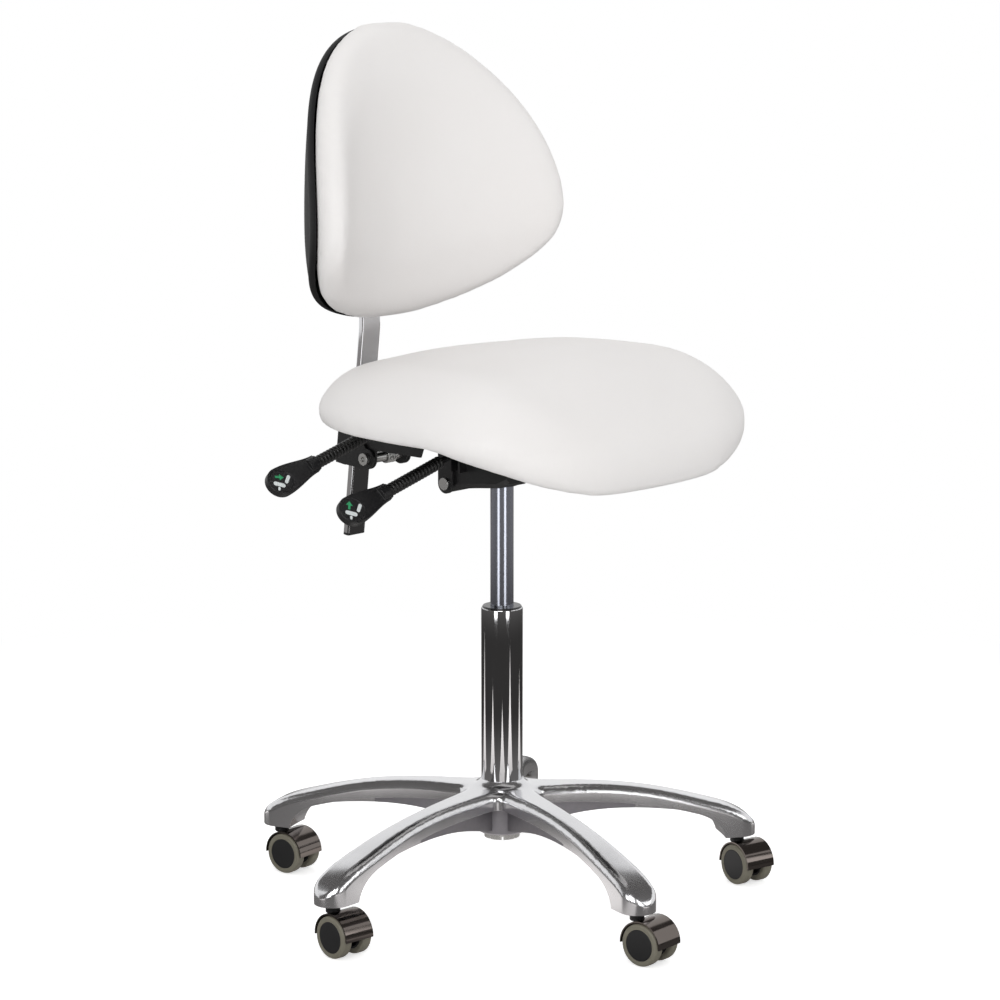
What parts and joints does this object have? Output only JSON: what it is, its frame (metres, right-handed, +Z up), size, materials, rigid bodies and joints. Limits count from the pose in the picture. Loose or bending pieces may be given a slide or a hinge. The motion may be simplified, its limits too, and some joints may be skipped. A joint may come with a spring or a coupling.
{
  "type": "salon stool with back",
  "caption": "Height-adjustable salon stool: star base on twin-wheel casters, gas lift, tilting padded seat, wrapped padded back on a sliding bar, two levers.",
  "frame": {"origin": "on the floor under the column's axis", "axes": "+Z up along the column; the sitter faces -Y, with the levers on the sitter's right at -X"},
  "size_m": [0.5914, 0.6367, 1.0481],
  "materials": {
    "polished_aluminium": "polished, matt on the side walls",
    "chrome": "bright chrome plate",
    "black_chrome": "dark nickel plate",
    "satin_steel": "drawn steel",
    "zinc": "zinc plate",
    "black_steel": "black powder coat",
    "black_plastic": "fine texture",
    "dark_plastic": "smooth",
    "black_rubber": "matt",
    "grey_polyurethane": "soft tread",
    "plywood": "covered in black cloth",
    "white_vinyl": "smooth vinyl over foam"
  },
  "bodies": {
    "base": {"base_star": "polished_aluminium", "caster_stems": "black_plastic", "column_tube": "chrome", "column_foot": "zinc", "guide_bush": "black_plastic", "thrust_bearing": "zinc"},
    "piston": {"piston_rod": "chrome", "rod_clip": "zinc", "bump_stop": "black_rubber"},
    "lift": {"gas_cylinder": "satin_steel", "chassis": "black_steel", "tilt_pivot_pin": "zinc"},
    "valve": {"valve_pin": "zinc"},
    "lift_lever": {"lift_lever_rod": "black_steel", "lift_lever_sleeve": "black_rubber", "lift_lever_paddle": "black_plastic"},
    "seat": {"seat_plate": "black_steel", "tilt_ears": "black_steel", "seat_bolts": "zinc", "seat_board": "plywood", "seat_cushion": "white_vinyl", "back_spring": "zinc", "back_pivot_bolt": "zinc"},
    "back_lever": {"back_lever_rod": "black_steel", "back_lever_sleeve": "black_rubber", "back_lever_paddle": "black_plastic"},
    "bracket": {"back_bracket": "black_steel"},
    "knob": {"clamp_knob": "black_plastic"},
    "back": {"back_bar": "chrome", "bar_end_cap": "black_plastic", "back_board": "plywood", "back_cushion": "white_vinyl", "back_shell": "black_plastic", "back_bolts": "zinc"},
    "caster_1": {"caster_1_hood": "black_chrome"},
    "caster_1_wheel_a": {"caster_1_tyre_a": "grey_polyurethane", "caster_1_core_a": "dark_plastic"},
    "caster_1_wheel_b": {"caster_1_tyre_b": "grey_polyurethane", "caster_1_core_b": "dark_plastic"},
    "caster_2": {"caster_2_hood": "black_chrome"},
    "caster_2_wheel_a": {"caster_2_tyre_a": "grey_polyurethane", "caster_2_core_a": "dark_plastic"},
    "caster_2_wheel_b": {"caster_2_tyre_b": "grey_polyurethane", "caster_2_core_b": "dark_plastic"},
    "caster_3": {"caster_3_hood": "black_chrome"},
    "caster_3_wheel_a": {"caster_3_tyre_a": "grey_polyurethane", "caster_3_core_a": "dark_plastic"},
    "caster_3_wheel_b": {"caster_3_tyre_b": "grey_polyurethane", "caster_3_core_b": "dark_plastic"},
    "caster_4": {"caster_4_hood": "black_chrome"},
    "caster_4_wheel_a": {"caster_4_tyre_a": "grey_polyurethane", "caster_4_core_a": "dark_plastic"},
    "caster_4_wheel_b": {"caster_4_tyre_b": "grey_polyurethane", "caster_4_core_b": "dark_plastic"},
    "caster_5": {"caster_5_hood": "black_chrome"},
    "caster_5_wheel_a": {"caster_5_tyre_a": "grey_polyurethane", "caster_5_core_a": "dark_plastic"},
    "caster_5_wheel_b": {"caster_5_tyre_b": "grey_polyurethane", "caster_5_core_b": "dark_plastic"}
  },
  "joints": [
    {"name": "rod_turn", "type": "hinge", "parent": "base", "child": "piston", "pos_m": [0, 0, 0.1], "axis": [0, 0, 1], "continuous": true},
    {"name": "height", "type": "slide", "parent": "piston", "child": "lift", "axis": [0, 0, 1], "range_m": [-0.14, 0]},
    {"name": "lift_lever_hinge", "type": "hinge", "parent": "lift", "child": "lift_lever", "pos_m": [-0.034, 0.04, 0.546], "axis": [0, 1, 0], "range_deg": [0, 7], "stiffness_Nm_per_rad": 4, "springref_deg": -5.73},
    {"name": "valve_press", "type": "slide", "parent": "lift", "child": "valve", "axis": [0, 0, 1], "range_m": [-0.0042, 0]},
    {"name": "seat_tilt", "type": "hinge", "parent": "lift", "child": "seat", "pos_m": [0, 0.064, 0.504], "axis": [-1, 0, 0], "range_deg": [-3, 8]},
    {"name": "back_lever_hinge", "type": "hinge", "parent": "seat", "child": "back_lever", "pos_m": [-0.034, 0.16, 0.565], "axis": [0, 1, 0], "range_deg": [0, 7], "stiffness_Nm_per_rad": 4, "springref_deg": -5.73},
    {"name": "back_angle", "type": "hinge", "parent": "seat", "child": "bracket", "pos_m": [0, 0.197, 0.5185], "axis": [-1, 0, 0], "range_deg": [-4, 12]},
    {"name": "knob_turn", "type": "hinge", "parent": "bracket", "child": "knob", "pos_m": [0.05, 0.23797, 0.536], "axis": [1, 0, 0], "range_deg": [0, 360]},
    {"name": "back_height", "type": "slide", "parent": "bracket", "child": "back", "axis": [0, -0.1149, 0.9934], "range_m": [-0.02, 0.08]},
    {"name": "caster_1_turn", "type": "hinge", "parent": "base", "child": "caster_1", "pos_m": [0.24763, -0.16578, 0.047], "axis": [0, 0, 1], "continuous": true},
    {"name": "caster_1_spin_a", "type": "hinge", "parent": "caster_1", "child": "caster_1_wheel_a", "pos_m": [0.24391, -0.18441, 0.025], "axis": [0.9806, -0.1959, 0], "continuous": true},
    {"name": "caster_1_spin_b", "type": "hinge", "parent": "caster_1", "child": "caster_1_wheel_b", "pos_m": [0.24391, -0.18441, 0.025], "axis": [0.9806, -0.1959, 0], "continuous": true},
    {"name": "caster_2_turn", "type": "hinge", "parent": "base", "child": "caster_2", "pos_m": [0.23419, 0.18429, 0.047], "axis": [0, 0, 1], "continuous": true},
    {"name": "caster_2_spin_a", "type": "hinge", "parent": "caster_2", "child": "caster_2_wheel_a", "pos_m": [0.22123, 0.19818, 0.025], "axis": [-0.7314, -0.682, 0], "continuous": true},
    {"name": "caster_2_spin_b", "type": "hinge", "parent": "caster_2", "child": "caster_2_wheel_b", "pos_m": [0.22123, 0.19818, 0.025], "axis": [-0.7314, -0.682, 0], "continuous": true},
    {"name": "caster_3_turn", "type": "hinge", "parent": "base", "child": "caster_3", "pos_m": [-0.1029, 0.27967, 0.047], "axis": [0, 0, 1], "continuous": true},
    {"name": "caster_3_spin_a", "type": "hinge", "parent": "caster_3", "child": "caster_3_wheel_a", "pos_m": [-0.10071, 0.2608, 0.025], "axis": [0.9934, 0.1149, 0], "continuous": true},
    {"name": "caster_3_spin_b", "type": "hinge", "parent": "caster_3", "child": "caster_3_wheel_b", "pos_m": [-0.10071, 0.2608, 0.025], "axis": [0.9934, 0.1149, 0], "continuous": true},
    {"name": "caster_4_turn", "type": "hinge", "parent": "base", "child": "caster_4", "pos_m": [-0.29778, -0.01144, 0.047], "axis": [0, 0, 1], "continuous": true},
    {"name": "caster_4_spin_a", "type": "hinge", "parent": "caster_4", "child": "caster_4_wheel_a", "pos_m": [-0.29897, -0.0304, 0.025], "axis": [0.998, -0.0628, 0], "continuous": true},
    {"name": "caster_4_spin_b", "type": "hinge", "parent": "caster_4", "child": "caster_4_wheel_b", "pos_m": [-0.29897, -0.0304, 0.025], "axis": [0.998, -0.0628, 0], "continuous": true},
    {"name": "caster_5_turn", "type": "hinge", "parent": "base", "child": "caster_5", "pos_m": [-0.08114, -0.28674, 0.047], "axis": [0, 0, 1], "continuous": true},
    {"name": "caster_5_spin_a", "type": "hinge", "parent": "caster_5", "child": "caster_5_wheel_a", "pos_m": [-0.07988, -0.3057, 0.025], "axis": [0.9978, 0.0663, 0], "continuous": true},
    {"name": "caster_5_spin_b", "type": "hinge", "parent": "caster_5", "child": "caster_5_wheel_b", "pos_m": [-0.07988, -0.3057, 0.025], "axis": [0.9978, 0.0663, 0], "continuous": true}
  ],
  "couplings": [
    {"joint": "valve_press", "follows": "lift_lever_hinge", "m_per_rad": -0.034}
  ]
}
